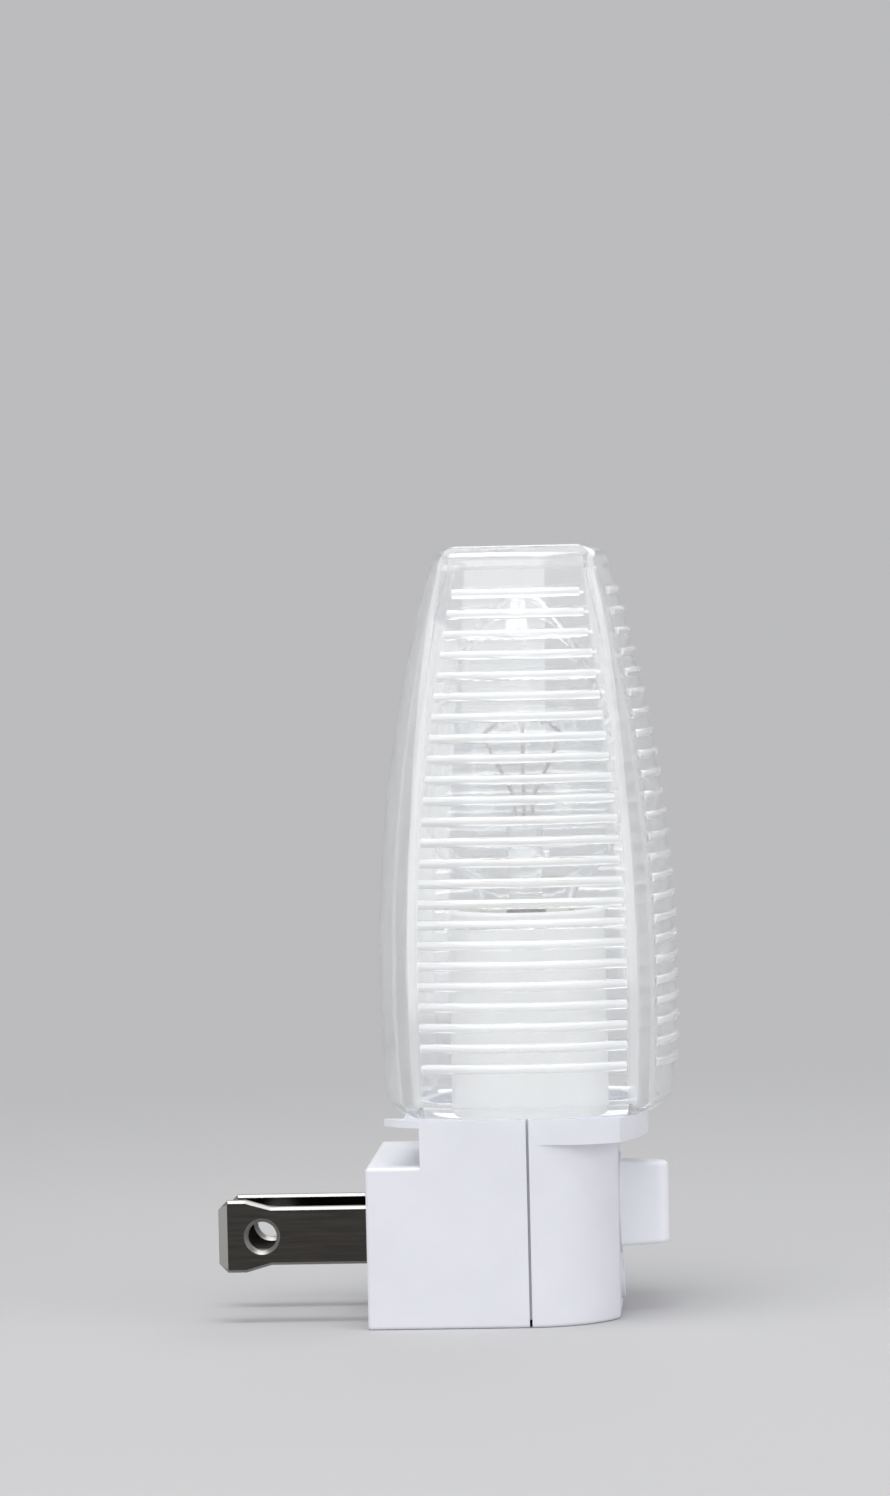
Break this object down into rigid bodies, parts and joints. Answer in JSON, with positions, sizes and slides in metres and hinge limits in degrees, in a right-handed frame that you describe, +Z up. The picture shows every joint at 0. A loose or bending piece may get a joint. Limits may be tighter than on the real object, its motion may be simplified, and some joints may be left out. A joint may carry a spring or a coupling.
{
  "type": "night light",
  "caption": "Plug-in night light with a clear ribbed lift-off shade over a screw-in lamp, on a white plug housing with a rotary switch.",
  "frame": {"origin": "Middle of the outlet face, between the two plug blades", "axes": "+X points from the wall into the room, -X along the blades into the outlet, +Z up, +Y to the left of someone facing the wall"},
  "size_m": [0.0512, 0.0336, 0.085],
  "materials": {
    "housing_white": "satin moulded ABS, cool white",
    "socket_white": "satin moulded plastic, white",
    "knob_white": "satin moulded plastic, greyish white",
    "shade_clear": "clear polished polystyrene",
    "blade_nickel": "nickel plated, lightly polished",
    "contact_brass": "stamped, bare",
    "board_brown": "phenolic board",
    "rotor_dark": "moulded phenolic",
    "screw_steel": "zinc plated",
    "bulb_glass": "clear blown glass",
    "cap_brass": "rolled thread, bright",
    "insulator_black": "dark vitreous glass",
    "solder": "dull solder",
    "lead_wire": "drawn wire",
    "tungsten": "coiled wire"
  },
  "bodies": {
    "housing": {"rear_housing": "housing_white", "front_housing": "housing_white", "socket_sleeve": "socket_white", "screw_shell": "contact_brass", "lamp_contact": "contact_brass", "neutral_strap": "contact_brass", "line_strap": "contact_brass", "neutral_blade": "blade_nickel", "line_blade": "blade_nickel", "blade_rivets": "contact_brass", "contact_board": "board_brown", "housing_screws": "screw_steel"},
    "switch": {"switch_knob": "knob_white", "switch_rotor": "rotor_dark", "bridge_contact": "contact_brass", "rotor_screw": "screw_steel"},
    "shade": {"shade": "shade_clear"},
    "bulb_foot": {"bulb_tip_contact": "solder"},
    "bulb": {"bulb_glass": "bulb_glass", "bulb_cap": "cap_brass", "bulb_insulator": "insulator_black", "bulb_stem": "bulb_glass", "bulb_leads": "lead_wire", "filament_support": "lead_wire", "bulb_filament": "tungsten"}
  },
  "joints": [
    {"name": "switch_turn", "type": "hinge", "parent": "housing", "child": "switch", "pos_m": [0.0273, 0, 0.0024], "axis": [1, 0, 0], "range_deg": [0, 90]},
    {"name": "shade_lift", "type": "slide", "parent": "housing", "child": "shade", "axis": [0, 0, 1], "range_m": [0, 0.065]},
    {"name": "bulb_lift", "type": "slide", "parent": "housing", "child": "bulb_foot", "axis": [0, 0, 1], "range_m": [0, 0.00191]},
    {"name": "bulb_turn", "type": "hinge", "parent": "bulb_foot", "child": "bulb", "pos_m": [0.0176, 0, 0.0175], "axis": [0, 0, 1], "range_deg": [0, 270.01]}
  ],
  "couplings": [
    {"joint": "bulb_turn", "follows": "bulb_lift", "rad_per_m": 2473.7}
  ]
}
